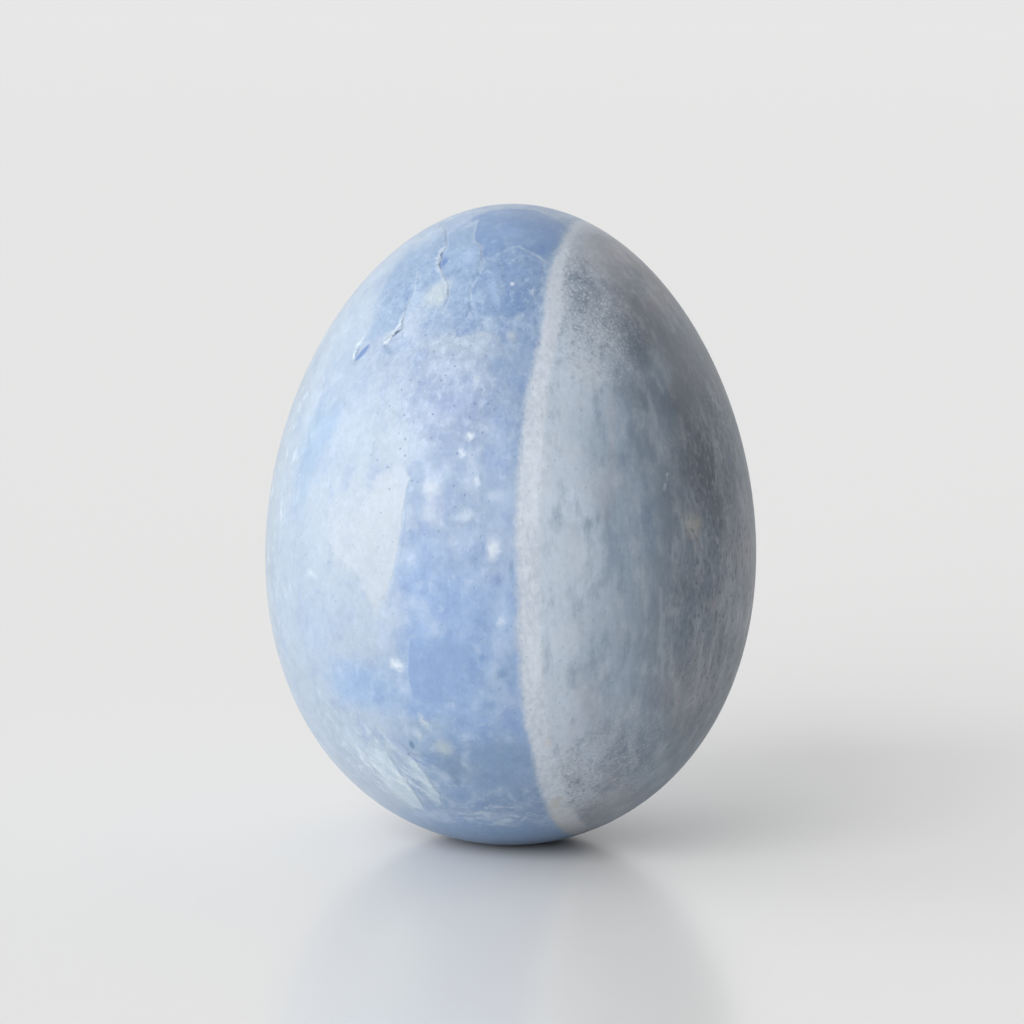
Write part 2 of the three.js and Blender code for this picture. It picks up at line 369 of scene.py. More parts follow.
def add_node(kind, inputs, output=0, tree=stone.node_tree, **settings):
    """Adds a node with its settings to the stone's material, or to another tree of nodes. Each
    input, by its name or number, takes a value, or the output that it is linked from. Gives back
    one of the node's outputs."""
    node = tree.nodes.new("ShaderNode" + kind)
    for name, value in settings.items():
        setattr(node, name, value)
    for key, value in inputs.items():
        if isinstance(value, bpy.types.NodeSocket):
            tree.links.new(value, node.inputs[key])
        else:
            node.inputs[key].default_value = value
    return node.outputs[output] if node.outputs else node


def paint(hex_code):
    """A colour from its sRGB hex code, turned to the linear values that a shader reads."""
    parts = [int(hex_code[i : i + 2], 16) / 255 for i in (1, 3, 5)]
    linear = [p / 12.92 if p <= 0.04045 else ((p + 0.055) / 1.055) ** 2.4 for p in parts]
    return (*linear, 1)


# Where a point is, in millimetres.
here = add_node(
    "VectorMath", {0: add_node("TexCoord", {}, "Object"), "Scale": 1 / MM}, operation="SCALE"
)


def grown(per_mm, grain=(1, 1, 1), detail=4, rough=0.55, place=None, output=0):
    """Noise stretched like a growth layer. per_mm is how many of its lumps fit in a millimetre
    along X, and grain says how many times finer it is along each axis."""
    seat = add_node("VectorMath", {0: place or here, 1: grain}, operation="MULTIPLY")
    settings = {"Vector": seat, "Scale": per_mm, "Detail": detail, "Roughness": rough}
    return add_node("TexNoise", settings, output)


def pushed(place, per_mm, distance):
    """The place moved by noise, up to half a distance in millimetres either way on each axis, so
    that the edge of a patch breaks up as it does in a grown crystal."""
    push = grown(per_mm, (1, 1, 1), 3, 0.6, place, "Color")
    back = add_node("VectorMath", {0: place, 1: (distance / 2,) * 3}, operation="SUBTRACT")
    return add_node(
        "VectorMath", {0: push, 1: (distance,) * 3, 2: back}, operation="MULTIPLY_ADD"
    )


def stained(under, over, field, low, high, share=1.0, within=None):
    """The colour under, stained with another one where a field goes from low to high: none of it
    at low, its full share at high, eased between, and only within another mask. The other colour
    is a hex code or a colour worked out before."""
    mask = add_node(
        "MapRange",
        {"Value": field, "From Min": low, "From Max": high, "To Min": 0.0, "To Max": share},
        interpolation_type="SMOOTHSTEP",
    )
    if within is not None:
        mask = add_node("Math", {0: mask, 1: within}, operation="MULTIPLY")
    over = paint(over) if isinstance(over, str) else over
    return add_node("Mix", {0: mask, 6: under, 7: over}, 2, data_type="RGBA")


def toned(under, field, low, high, dark, light):
    """The colour under, made darker or lighter as a field goes from low to high: mixed with
    black, and away from it where the tone is above 1."""
    black = add_node(
        "MapRange",
        {
            "Value": field,
            "From Min": low,
            "From Max": high,
            "To Min": 1.0 - dark,
            "To Max": 1.0 - light,
        },
    )
    return add_node(
        "Mix", {0: black, 6: under, 7: (0, 0, 0, 1)}, 2, data_type="RGBA", clamp_factor=False
    )


# Two such broken-up places: ragged for patches a few mm wide, frayed for spots of about 1 mm.
ragged = pushed(pushed(here, 0.22, 2.4), 1.1, 0.9)
frayed = pushed(pushed(here, 0.5, 0.8), 1.9, 1.0)


def cloud(degrees, height, wide, tall, tilt=0.0, place=None):
    """A ball of stone under the surface at a place, squeezed to half its size wide and tall in
    millimetres, tilted clockwise by degrees: 1 in its middle, falling evenly to 0 at its skin."""
    centre, right, up, out = surface_place(degrees, height)
    turned = Matrix(np.stack([right, up, out]).T.tolist()) @ Matrix.Rotation(
        -math.radians(tilt), 3, "Z"
    )
    seat = add_node(
        "Mapping",
        {
            "Vector": place or ragged,
            "Location": (centre / MM).tolist(),
            "Rotation": turned.to_euler(),
            "Scale": (wide, tall, 2 + max(wide, tall)),
        },
        vector_type="TEXTURE",
    )
    return seat, add_node("TexGradient", {"Vector": seat}, 1, gradient_type="SPHERICAL")


# Each patch of the sky blue side: colour, degrees round from +X, height, half its width and half
# its length in mm, tilt, how far in from its skin it fades (1 is to its middle) and its share.
SKY_PATCHES = [
    # broad clouds
    # The first, a pale wash over the left rim, is painted light: the glow of the window on that
    # rim.
    ("#9aa7b3", -158, 40, 10, 30, 0, 0.6, 0.9),
    ("#879fb6", -131, 46.5, 4.2, 8, 12, 0.8, 0.95),
    ("#8fa1b5", -124, 53.5, 7, 6, 20, 0.7, 0.9),
    ("#8b9cb1", -116, 56.3, 6, 3.2, 10, 0.7, 0.9),
    ("#9daab8", -102, 47.5, 5, 5, 0, 0.9, 0.85),
    ("#a6b1bd", -113, 38.5, 9, 10, 5, 0.8, 0.8),
    ("#8aa3c3", -111, 20.5, 8, 4.8, 0, 0.8, 0.95),
    ("#96a9bf", -126, 26, 5, 5, 0, 0.9, 0.7),
    ("#8b9bb2", -92, 55, 9, 6, 0, 0.8, 0.85),
    ("#7b8eab", -88, 50, 7, 6.5, 0, 0.8, 0.9),
    ("#97a5b5", -90, 58, 8, 2.4, 0, 0.9, 0.85),
    ("#99abc4", -75, 38, 3, 9, 0, 0.9, 0.8),
    # the crown and its rim
    ("#8097b3", -88, 66, 14, 8, 0, 0.3, 0.95),
    ("#93a4b9", -85, 71.2, 12, 2.2, 0, 0.8, 0.8),
    ("#9eadb8", -104, 62.6, 2.2, 3.4, 25, 1, 0.95),
    # round the deep pool
    ("#a7b0b6", -104.5, 30.8, 2.3, 3.4, 14, 0.9, 0.8),
    ("#a5b0c2", -90.6, 41.5, 1.6, 3.4, 0, 0.9, 0.85),
    ("#93a8c2", -77, 21.4, 2.6, 4.2, 0, 0.9, 0.8),
    ("#869cbb", -74, 27, 1.6, 6.6, 0, 0.9, 0.8),
    ("#8ea2b6", -95, 16.5, 6, 2.6, 0, 0.9, 0.8),
    ("#9fb1c4", -101, 5.2, 5, 2.6, 0, 0.9, 0.8),
    ("#768da8", -87, 12.5, 5, 4.2, -30, 0.8, 0.9),
    # beside the vein and on the left
    ("#9db1cd", -76.1, 47.3, 2.3, 6, 0, 0.8, 0.55),
    ("#a0b3cf", -83.5, 37.1, 2.6, 2.6, 0, 0.9, 0.5),
    ("#94aac9", -91.9, 36.9, 2.3, 2.3, 0, 0.9, 0.5),
    ("#94abce", -83.3, 28.2, 2.6, 2.4, 0, 0.9, 0.5),
    ("#9db3d2", -74.8, 29.2, 1.9, 7, 0, 0.9, 0.75),
    ("#a8b8cb", -101.2, 29.4, 2.7, 3.9, 0, 0.9, 0.6),
    ("#8da1b9", -124.6, 44.5, 4.6, 3.4, 0, 0.9, 0.5),
    ("#788eac", -111, 57.3, 3.5, 2, -20, 0.9, 0.7),
    ("#b0bfcb", -118, 13, 4.6, 3.1, 30, 0.9, 0.6),
    ("#7288aa", -86.3, 53.9, 2.6, 2.1, 0, 0.9, 0.7),
    # the back
    ("#a8b3be", 128, 52, 10, 9, 20, 0.8, 0.85),
    ("#8ba1bd", 105, 42, 8, 12, -10, 0.8, 0.9),
    ("#90a6c0", 165, 30, 9, 10, 15, 0.8, 0.8),
    ("#a3afbb", 140, 12, 9, 6, 0, 0.8, 0.8),
    ("#879dbb", 150, 66, 9, 4, 0, 0.8, 0.8),
    ("#9aabbe", 88, 22, 7, 9, 0, 0.8, 0.8),
]

# Small spots of it, given in the same way: white ones, blue ones, and the dark clefts of the
# scars, which fade over less than 0.7 of their size and have crisp edges. The clefts' dark is
# painted shade in the cracks and steps of the scars.
SKY_SPOTS = [
    ("#c0cad6", -83.6, 48.4, 0.9, 0.7, 0, 1, 1),
    ("#bac5d2", -85.3, 46.7, 0.5, 0.8, 0, 1, 0.9),
    ("#b8c5d4", -81.3, 43.8, 0.6, 0.9, 0, 1, 0.9),
    ("#b3becb", -92.3, 42.9, 1.5, 1.4, 0, 1, 0.9),
    ("#a8b4c5", -92.5, 40.4, 1.4, 2.1, 0, 1, 0.8),
    ("#abb9cb", -83.5, 40.2, 2, 0.9, -10, 1, 0.9),
    ("#aebdd1", -77, 42.4, 1.4, 1, -15, 1, 0.9),
    ("#a8b4c3", -83.1, 54.4, 0.7, 1.1, 15, 1, 0.9),
    ("#a6b2bf", -83.6, 58.8, 1.2, 0.6, 0, 1, 0.8),
    ("#a5b0bc", -73.9, 58.8, 1.1, 1, 0, 1, 0.8),
    ("#c6cfdb", -77.2, 36.8, 1.2, 1.9, 0, 1, 1),
    ("#bac7d8", -75.2, 28.9, 0.6, 0.9, 40, 1, 0.9),
    ("#c6d0da", -100.1, 23.6, 1.4, 1, 0, 1, 1),
    ("#bac6d0", -125.2, 32.4, 1.5, 0.7, 0, 1, 0.9),
    ("#c3cfdd", -73.9, 63.9, 0.3, 0.4, 0, 1, 1),
    ("#a5b6ca", -65.8, 63.3, 0.4, 0.9, 10, 1, 0.8),
    ("#b2bec8", -94.8, 17.3, 0.6, 1.4, -25, 1, 0.8),
    ("#b0bcc6", -97.2, 15.6, 0.6, 1.1, -10, 1, 0.8),
    ("#a1aeb6", -90.5, 14.3, 1.8, 1.8, 0, 1, 0.9),
    ("#aab6bf", -103.3, 62.9, 1.5, 2.9, 22, 0.8, 0.8),
    ("#b6c0c4", -100.3, 62.1, 0.7, 1.6, 15, 1, 0.7),
    ("#9fb2cb", -74.7, 41.9, 2.8, 3.4, 0, 1, 0.8),
    ("#a3b0c0", -103, 45.5, 3.1, 2.2, 0, 1, 0.8),
    ("#a0aec0", -100.5, 28.3, 2, 2, 0, 1, 0.8),
    ("#9aaaba", -130.2, 35.2, 6.4, 9.8, 8, 1, 0.5),
    ("#7e91b4", -88.3, 51.6, 3.7, 2.2, -10, 1, 0.85),
    ("#7890b0", -76.9, 55.7, 1.9, 1.6, 0, 1, 0.9),
    ("#7e91ac", -72.8, 52.3, 0.7, 1.6, 25, 1, 0.8),
    ("#798fb7", -76.2, 33.5, 1.2, 1.3, 0, 1, 0.9),
    ("#7c95b5", -73.1, 34.4, 0.5, 1.7, 0, 1, 0.8),
    ("#869dc7", -88.3, 29.3, 1.3, 1, 20, 1, 0.8),
    ("#708eb6", -79.5, 24.9, 0.9, 0.9, 0, 1, 0.9),
    ("#728eb1", -74.9, 23.3, 1.1, 1.3, 0, 1, 0.9),
    ("#7893b7", -77.8, 19.6, 1.7, 1.2, 0, 1, 0.8),
    ("#6b86a2", -89.5, 11.4, 1, 2.7, -15, 1, 0.85),
    ("#8aa1bc", -126.9, 48.1, 2.4, 4.3, 25, 1, 0.9),
    ("#8fa5bb", -131.8, 41.3, 2.2, 4.9, 10, 1, 0.8),
    # These five dark spots are painted shade: the shaded triangle below the top scar's step, and
    # the clefts, slits and shaded side lines of the scars.
    ("#5775a5", -108, 66, 0.7, 1.3, -15, 1, 1),
    ("#4f70a0", -123.9, 56.2, 0.5, 1.5, 35, 0.4, 0.9),
    ("#4a5a70", -114.1, 58.3, 0.2, 1.7, 42, 0.5, 1),
    ("#5d7b99", -99.7, 14.3, 0.4, 0.7, 0, 0.5, 0.9),
    ("#8a9dba", -98, 38.9, 0.2, 3.2, 0, 0.6, 0.6),
    ("#98adcb", -95.6, 66.7, 1.4, 2.3, 0, 1, 0.7),
    ("#90a7c8", -80.3, 63.2, 0.9, 3.5, -15, 1, 0.7),
    ("#5f7cab", -57.8, 67.4, 1, 1.7, 30, 1, 0.7),
    ("#7d98c0", -70.6, 65.2, 1.5, 1.2, 0, 1, 0.5),
    ("#819cc4", -74.8, 69.1, 2.2, 1.6, -8, 1, 0.5),
    ("#6480ac", -50.6, 69.3, 1.7, 1.3, 20, 1, 0.6),
    ("#b9c5d0", 158, 47, 1.2, 2, -15, 1, 0.85),
    ("#bac6d1", 98, 34, 1, 1.6, 10, 1, 0.9),
]

# The sky blue side in layers parallel to the vein: the outer 20 mm is paler and greyer, and the
# rest turns from grey blue near the top to clear blue below the middle and deeper at the foot.
parts = add_node("SeparateXYZ", {0: here}, "X"), add_node("SeparateXYZ", {0: here}, "Z")
lumps = grown(0.14, (1, 0.6, 0.6), 5, 0.6)
mottle = grown(0.5, (1, 0.7, 0.55), 6, 0.68, ragged)
layer_x = add_node("Math", {0: lumps, 1: 8.0, 2: parts[0]}, operation="MULTIPLY_ADD")
layer_z = add_node("Math", {0: lumps, 1: 12.0, 2: parts[1]}, operation="MULTIPLY_ADD")
near_vein = stained(paint("#859ab5"), "#849dc1", layer_z, 46, 38)
near_vein = stained(near_vein, "#7a93b1", layer_z, 24, 18)
sky = stained(paint("#9cabbc"), near_vein, layer_x, -4, 2)
for colour, degrees, height, wide, tall, tilt, fade, share in SKY_PATCHES:
    _, ball = cloud(degrees, height, wide, tall, tilt)
    sky = stained(sky, colour, ball, 0, fade, share)

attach(sky_side, "root")
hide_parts("sky_blue_side")


# The pale vein. It is a sheet of fine white crystal that grew in a crack of the stone, and it
# runs straight through the egg. It is ground and polished flush with the stone on both sides.

far_rim = rim_angle(VEIN_FAR, TURNS)
vein = stone_band("pale_vein_polished", VEIN_NEAR, VEIN_FAR, near_rim, far_rim, 14, [])

# How far a point lies towards the slate side, in millimetres. The vein leans a little, by 28
# thousandths of the height, and noise of 8 mm and of 0.5 mm breaks its borders up.
LEAN = 0.028
WANDER = 1.4
FUZZ = 1.1
layer = add_node("Math", {0: parts[1], 1: LEAN, 2: parts[0]}, operation="MULTIPLY_ADD")
for per_mm, reach in ((0.12, WANDER), (2.0, FUZZ)):
    noise = grown(per_mm, (1, 0.8, 0.8), 4, 0.65)
    layer = add_node("Math", {0: noise, 1: reach, 2: layer}, operation="MULTIPLY_ADD")
level_layer = 36 * LEAN + (WANDER + FUZZ) / 2  # what these add halfway up
near_border = VEIN_NEAR / MM + level_layer
_, ball = cloud(-70, 59, 8, 8)
near_layer = add_node("Math", {0: ball, 1: -0.8, 2: layer}, operation="MULTIPLY_ADD")
narrowed = add_node(
    "MapRange",
    {"Value": parts[1], "From Min": 61.0, "From Max": 70.0, "To Min": 0.0, "To Max": 1.8},
)
far_layer = add_node("Math", {0: narrowed, 1: layer}, operation="ADD")
far_border = VEIN_FAR / MM + level_layer

grit = grown(1.6, (1, 1, 0.6), 5, 0.8)
pale = stained(paint("#adb7c4"), "#bfc7d1", grit, 0.36, 0.62)
# Its patches, given as for the sky blue side: beige at the foot, greyer at the crown.
VEIN_PATCHES = [
    ("#b2b0ae", -60, 3, 9, 9, 0, 0.8, 0.75),
    ("#b4bbc6", -62, 62, 9, 11, 0, 0.8, 0.5),
    ("#949ca7", -66, 69.5, 7, 5, 0, 0.7, 0.8),
    ("#c8d1dc", -66, 43, 3, 8, 0, 0.9, 0.6),
    ("#c9d2dc", -67, 24.8, 1.5, 5.1, 0, 0.9, 0.6),
    ("#c3c9d3", -64.2, 59.9, 1.3, 5.5, 0, 0.9, 0.6),
    ("#b9b7b8", -62.5, 15.4, 1, 1.2, 0, 1, 0.7),
    ("#b5b1ac", -56.9, 7.5, 0.9, 2, 0, 1, 0.8),
]
for colour, degrees, height, wide, tall, tilt, fade, share in VEIN_PATCHES:
    _, ball = cloud(degrees, height, wide, tall, tilt, ragged if wide > 2 else frayed)
    pale = stained(pale, colour, ball, 0, fade, share)

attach(vein, "root")
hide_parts("pale_vein")


# The slate blue side. It is the smaller part of the same stone, beyond the vein: a greyer
# calcite, grown in thin layers that lie parallel to the vein and show as upright fibres.

slate_pole = np.full_like(TURNS, 0.002)
slate_side = stone_band("slate_blue_polished", VEIN_FAR, None, far_rim, slate_pole, 60, [])

SLATE_PATCHES = [
    ("#8d97a4", -34, 62.2, 10, 13.6, 0, 0.8, 0.95),
    ("#85868d", -2.2, 63.5, 15.5, 12.4, 45, 0.9, 0.85),
    ("#9dabba", -53.7, 49.6, 3.8, 5.1, 0, 0.9, 0.8),
    ("#6d7988", -31.2, 57.5, 2.9, 6.7, 8, 0.9, 0.9),
    ("#868b95", -26.6, 58.1, 1.4, 1.1, 0, 0.9, 0.8),
    ("#74818f", -36.2, 52.4, 4.6, 4, 0, 0.9, 0.9),
    ("#7a8897", -39.4, 47.3, 3.3, 5.1, 0, 0.9, 0.8),
    ("#6b798c", -28.4, 51.5, 1.8, 2.1, 0, 0.9, 0.8),
    ("#b6c2cf", -63.7, 35.6, 2.4, 13.9, 0, 0.9, 0.7),
    ("#626d7a", -20.9, 44.9, 4.7, 6.6, -8, 0.9, 0.95),
    ("#a6a6a3", -26.8, 38.1, 2.1, 3, -12, 1, 0.95),
    ("#6d7884", -27.6, 31.4, 3.6, 3.3, 0, 0.9, 0.8),
    ("#9a989e", -19.2, 29.4, 2, 2, 0, 1, 0.9),
    ("#94979f", -19.8, 19.7, 9.3, 7.2, 25, 0.9, 0.8),
    ("#7f8b9a", -37, 11.9, 5.1, 4.8, -20, 0.9, 0.8),
    ("#858b92", -39.4, 5.3, 6.2, 7.1, 20, 0.9, 0.8),
    ("#9dabb9", -51.4, 29, 4.6, 9.9, 0, 0.9, 0.5),
    ("#98a7b7", -48.2, 21.1, 3.2, 6.1, 0, 0.9, 0.6),
    ("#b7c4d3", -58.9, 41.4, 2, 4.8, 0, 0.9, 0.6),
    ("#7f8b99", -43, 63.1, 2.5, 6, 8, 0.8, 0.85),
    ("#7b828d", -21.3, 60.9, 3.8, 5.6, -25, 0.9, 0.8),
    ("#7c848e", -15.6, 56.6, 4.4, 4.4, 0, 0.9, 0.7),
    ("#6c7581", -22.7, 51.5, 4.1, 3.9, 0, 0.9, 0.75),
    ("#5b6571", -16.7, 41.7, 3.7, 6.1, 0, 0.9, 0.8),
    ("#bbc7d3", -55.7, 35.5, 3.1, 8.5, 0, 0.9, 0.5),
    ("#74859a", -41.2, 38.4, 2.3, 3.9, 0, 0.9, 0.5),
    ("#828d99", -52.1, 10, 1.7, 1.7, 0, 1, 0.6),
    ("#8b99a8", -51.9, 15.6, 1.2, 1.9, 0, 1, 0.5),
    ("#a3aebb", -38.9, 14.9, 1.4, 2.6, 0, 1, 0.5),
    ("#7d8b9a", -35.1, 19.4, 1.2, 2.1, 10, 1, 0.6),
    ("#7d8a99", 30, 45, 7, 12, 0, 0.8, 0.9),
    ("#a0abb8", 45, 25, 5, 9, 0, 0.8, 0.8),
    ("#8d8f97", 20, 18, 7, 7, 0, 0.8, 0.8),
    ("#697685", 12, 55, 5, 7, 0, 0.8, 0.8),
    ("#a3a6a8", 25, 36, 2, 3, 10, 1, 0.9),
    ("#bcc5ce", -33, 43.8, 0.3, 0.8, 8, 1, 1),
    ("#b8c1cb", -34.4, 42.7, 0.3, 0.7, 12, 1, 1),
    ("#a4a9b3", -18.5, 36.3, 0.4, 0.8, -15, 1, 1),
    ("#a9b1ba", -39.4, 10, 0.7, 0.5, 0, 1, 1),
    ("#a8b1bc", -42, 54.3, 0.4, 0.6, 0, 1, 0.9),
]
fibre = grown(0.7, (1, 0.8, 0.25), 4, 0.62)
blotches = grown(0.32, (1, 0.8, 0.5), 5, 0.62, ragged)
bands = grown(0.2, (1, 0.25, 0.2), 4, 0.55)
depth = add_node("Math", {0: bands, 1: 4.0, 2: parts[0]}, operation="MULTIPLY_ADD")
slate = stained(paint("#b0bcca"), "#8e9dad", depth, 14.5, 21)
slate = stained(slate, "#778390", depth, 20.5, 25.5)
slate = stained(slate, "#9698a0", depth, 27.5, 30)
for colour, degrees, height, wide, tall, tilt, fade, share in SLATE_PATCHES:
    _, ball = cloud(degrees, height, wide, tall, tilt, ragged if wide > 1 else frayed)
    slate = stained(slate, colour, ball, 0, fade, share)
slate = stained(slate, "#b6bec7", blotches, 0.5, 0.7, 0.4)
slate = stained(slate, "#6c7d90", blotches, 0.5, 0.3, 0.4)
slate = stained(slate, "#b3bbc6", fibre, 0.48, 0.7, 0.4)
slate = stained(slate, "#66778b", fibre, 0.5, 0.28, 0.4)
slate = stained(slate, "#9c99a0", bands, 0.5, 0.66, 0.3)
# Two places of the slate side are made darker. The broad one down its right side is painted shade
# of the egg's shadowed side; the small one near its top is darker too.
for place, tone in (((-20.4, 49.9, 10.9, 17.5), 0.76), ((-27.6, 59.5, 5.5, 6.6), 0.82)):
    _, ball = cloud(*place)
    slate = toned(slate, ball, 0, 0.8, 1.0, tone)

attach(slate_side, "root")
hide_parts("slate_blue_side")


# The skin of the stone. The three bands are one stone with one satin polish, so one material
# runs over all three, and only its colour changes from band to band.

# The panes, whose borders are chipped over a tenth of a millimetre.
fine = grown(2.2, (1, 0.8, 0.6), 4, 0.75)
chipped = grown(1.1, (1, 1, 1), 5, 0.7)
raised = None
for name, (hex_code, share, _) in PANES.items():
    inward = add_node("Attribute", {}, "Fac", attribute_name=name)
    inward = add_node("Math", {0: chipped, 1: 1.6, 2: inward}, operation="MULTIPLY_ADD")
    sky = stained(sky, hex_code, inward, 0.8, 1.8, share)
    pane = add_node("MapRange", {"Value": inward, "From Min": 0.8, "From Max": 1.4})
    raised = add_node("Math", {0: pane, 1: raised}, operation="ADD") if raised else pane

# Cleavage blocks about 3 mm tall, each a little lighter or darker than the next, and soft clouds
# 1 to 4 mm wide, white and blue, strongest next to the vein and faint in the clear panes.
blocks = add_node("VectorMath", {0: ragged, 1: (1, 0.8, 0.6)}, operation="MULTIPLY")
block = add_node("TexVoronoi", {"Vector": blocks, "Scale": 0.33}, "Color")
inner = add_node(
    "MapRange", {"Value": layer_x, "From Min": -6.0, "From Max": 2.0, "To Min": 0.55}
)
plain = add_node("MapRange", {"Value": raised, "To Min": 1.0, "To Max": 0.3})
cloudy = add_node("Math", {0: inner, 1: plain}, operation="MULTIPLY")
clouds = grown(0.38, (1, 0.9, 0.8), 2, 0.45, frayed)
small_clouds = grown(0.95, (1, 0.8, 0.7), 2, 0.5, frayed)
sky = stained(sky, "#aebdd1", clouds, 0.48, 0.75, 0.45, cloudy)
sky = stained(sky, "#6f88b4", clouds, 0.5, 0.28, 0.45, cloudy)
sky = stained(sky, "#b2c1d4", small_clouds, 0.52, 0.78, 0.4, cloudy)
sky = stained(sky, "#6e88b2", small_clouds, 0.48, 0.25, 0.35, cloudy)
sky = stained(sky, "#b5c3d4", mottle, 0.56, 0.76, 0.3, cloudy)

# The crisp sides of the panes show as broken white lines, painted highlights where a pane's edge
# catches the light, and the crown is crazed, pale and blue.
seam = add_node("Attribute", {}, "Fac", attribute_name="seam")
seam = add_node("Math", {0: chipped, 1: 0.6, 2: seam}, operation="MULTIPLY_ADD")
sky = stained(sky, "#b4c3d5", seam, 0.6, 0.24, 0.32)
_, ball = cloud(-90, 63.5, 15, 9)
crown = add_node("MapRange", {"Value": ball, "From Max": 0.35})
crazed = grown(1.0, (1, 1, 1), 5, 0.78, frayed)
sky = stained(sky, "#a9bbd0", crazed, 0.5, 0.72, 0.6, crown)
sky = stained(sky, "#536f9d", crazed, 0.5, 0.3, 0.6, crown)

# The spots lie over all of that. Only the crisp clefts, whose dark is painted shade, are not
# frayed.
for colour, degrees, height, wide, tall, tilt, fade, share in SKY_SPOTS:
    _, ball = cloud(degrees, height, wide, tall, tilt, here if fade < 0.7 else frayed)
    sky = stained(sky, colour, ball, 0, fade, share)

# White streaks along the low ridges.
seat, ball = cloud(-111, 10, 7, 9, -38)
streaks = grown(8.0, (1, 0.15, 1), 5, 0.66, seat)
sky = stained(sky, "#cfd9df", streaks, 0.48, 0.66, 0.9, ball)
sky = stained(sky, "#84a0c2", streaks, 0.45, 0.3, 0.6, ball)

# White flecks about 1 mm wide, where the left rim and the foot were bruised in the tumbler.
flecks = grown(0.8, (1, 1, 0.4), 5, 0.68)
for degrees, height, wide, tall in ((-146, 40, 9, 24), (-120, 12, 9, 9)):
    _, ball = cloud(degrees, height, wide, tall)
    sky = stained(sky, "#c5d0da", flecks, 0.54, 0.66, 0.75, ball)
dashes = grown(0.5, (1, 1, 3), 5, 0.68)
_, ball = cloud(-77, 5.5, 7, 4.5)
sky = stained(sky, "#b9c6d3", dashes, 0.49, 0.62, 1, ball)

# The three bands meet: the foot of the sky blue side is clearer blue, and the pale vein and then
# the slate side lie over it from their borders on.
sky = stained(sky, "#7ca4d2", parts[1], 6.5, 1.0, 0.75)
colour = stained(sky, pale, near_layer, near_border - 0.6, near_border + 0.45)
colour = stained(colour, slate, far_layer, far_border - 0.7, far_border + 0.2)

# Fine tone over the whole stone, and a white and blue grain below the crown.
colour = toned(colour, block, 0, 1, 0.97, 1.03)
colour = toned(colour, chipped, 0.3, 0.7, 0.95, 1.05)
colour = toned(colour, fine, 0.3, 0.7, 0.95, 1.05)
_, ball = cloud(-95, 56, 15, 13)
colour = stained(colour, "#c3cedb", fine, 0.5, 0.75, 0.35, ball)
colour = stained(colour, "#6b82a4", fine, 0.5, 0.25, 0.35, ball)

# Coarse grains of crystal 0.3 mm wide, in clumps of 1 mm: on the slate side next to the vein
# near the top, at its foot, and at the two ends of the vein.
beyond_vein = add_node(
    "MapRange", {"Value": far_layer, "From Min": far_border - 1.2, "From Max": far_border}
)
speck = grown(3.4, (1, 1, 1), 1, 0.6)
clump = grown(0.9, (1, 1, 0.8), 4, 0.6)
for degrees, height, wide, tall, share in (
    (-46, 60, 8, 10, 1.0), (-54, 66, 6, 6, 0.7), (-44, 11, 11, 10, 0.8), (-56, 8, 5, 9, 1.0)
):
    _, ball = cloud(degrees, height, wide, tall)
    coarse = add_node("MapRange", {"Value": ball, "From Max": 0.7, "To Max": share})
    coarse = add_node("Math", {0: coarse, 1: beyond_vein}, operation="MULTIPLY")
    colour = stained(colour, "#aab3be", clump, 0.5, 0.72, 0.5, coarse)
    colour = stained(colour, "#606d7b", clump, 0.48, 0.28, 0.5, coarse)
    colour = stained(colour, "#c6cdd6", speck, 0.55, 0.72, 0.5, coarse)
    colour = stained(colour, "#5f6b78", speck, 0.45, 0.28, 0.4, coarse)

# Pits about 0.3 mm across and 1 mm apart, which show most on the middle of the sky blue side,
# and smaller ones, 0.6 mm apart, on the far rim of the slate side.
pits = add_node("TexVoronoi", {"Vector": here, "Scale": 0.95}, "Distance")
_, ball = cloud(-93, 48, 10, 14)
pitted = add_node(
    "MapRange", {"Value": ball, "From Min": 0.0, "From Max": 0.5, "To Min": 0.2, "To Max": 0.8}
)
colour = stained(colour, "#60759c", pits, 0.2, 0.05, 0.75, pitted)
ends = grown(2.2, (1, 1, 0.5), 1, 0.6)
rimward = add_node(
    "MapRange",
    {"Value": parts[0], "From Min": 21.0, "From Max": 25.0},
    interpolation_type="SMOOTHSTEP",
)
colour = stained(colour, "#4f5460", ends, 0.44, 0.28, 0.6, rimward)
colour = stained(colour, "#a3a5ae", ends, 0.56, 0.72, 0.4, rimward)

# The torn edges of the flake scars: a white lip, broken up, partly bruised crystal and partly
# painted light glowing through the thin edge, and painted shade along the foot of the step.
side = add_node("Attribute", {}, "Fac", attribute_name="edge_side")
step = add_node("Attribute", {}, "Fac", attribute_name="edge_depth")
chips = add_node("Math", {0: chipped, 1: step}, operation="MULTIPLY")
side = add_node("Math", {0: chipped, 1: 1.1, 2: side}, operation="MULTIPLY_ADD")
for hex_code, field, low, high, share, sharp, soft in (
    ("#cdd7df", chips, 0.03, 0.12, 0.7, 0.52, 0.05),
    ("#56709b", step, 0.1, 0.4, 0.6, 0.56, 0.85),
):
    band = add_node("MapRange", {"Value": side, "From Min": soft, "From Max": sharp})
    short_of = "LESS_THAN" if soft < sharp else "GREATER_THAN"
    past = add_node("Math", {0: side, 1: sharp}, operation=short_of)
    band = add_node("Math", {0: band, 1: past}, operation="MULTIPLY")
    colour = stained(colour, hex_code, field, low, high, share, band)

# The last few millimetres round the foot are darker: painted shade of the underside, where it
# curves in to the floor.
colour = toned(colour, parts[1], 0.5, 5.0, 0.52, 1.0)

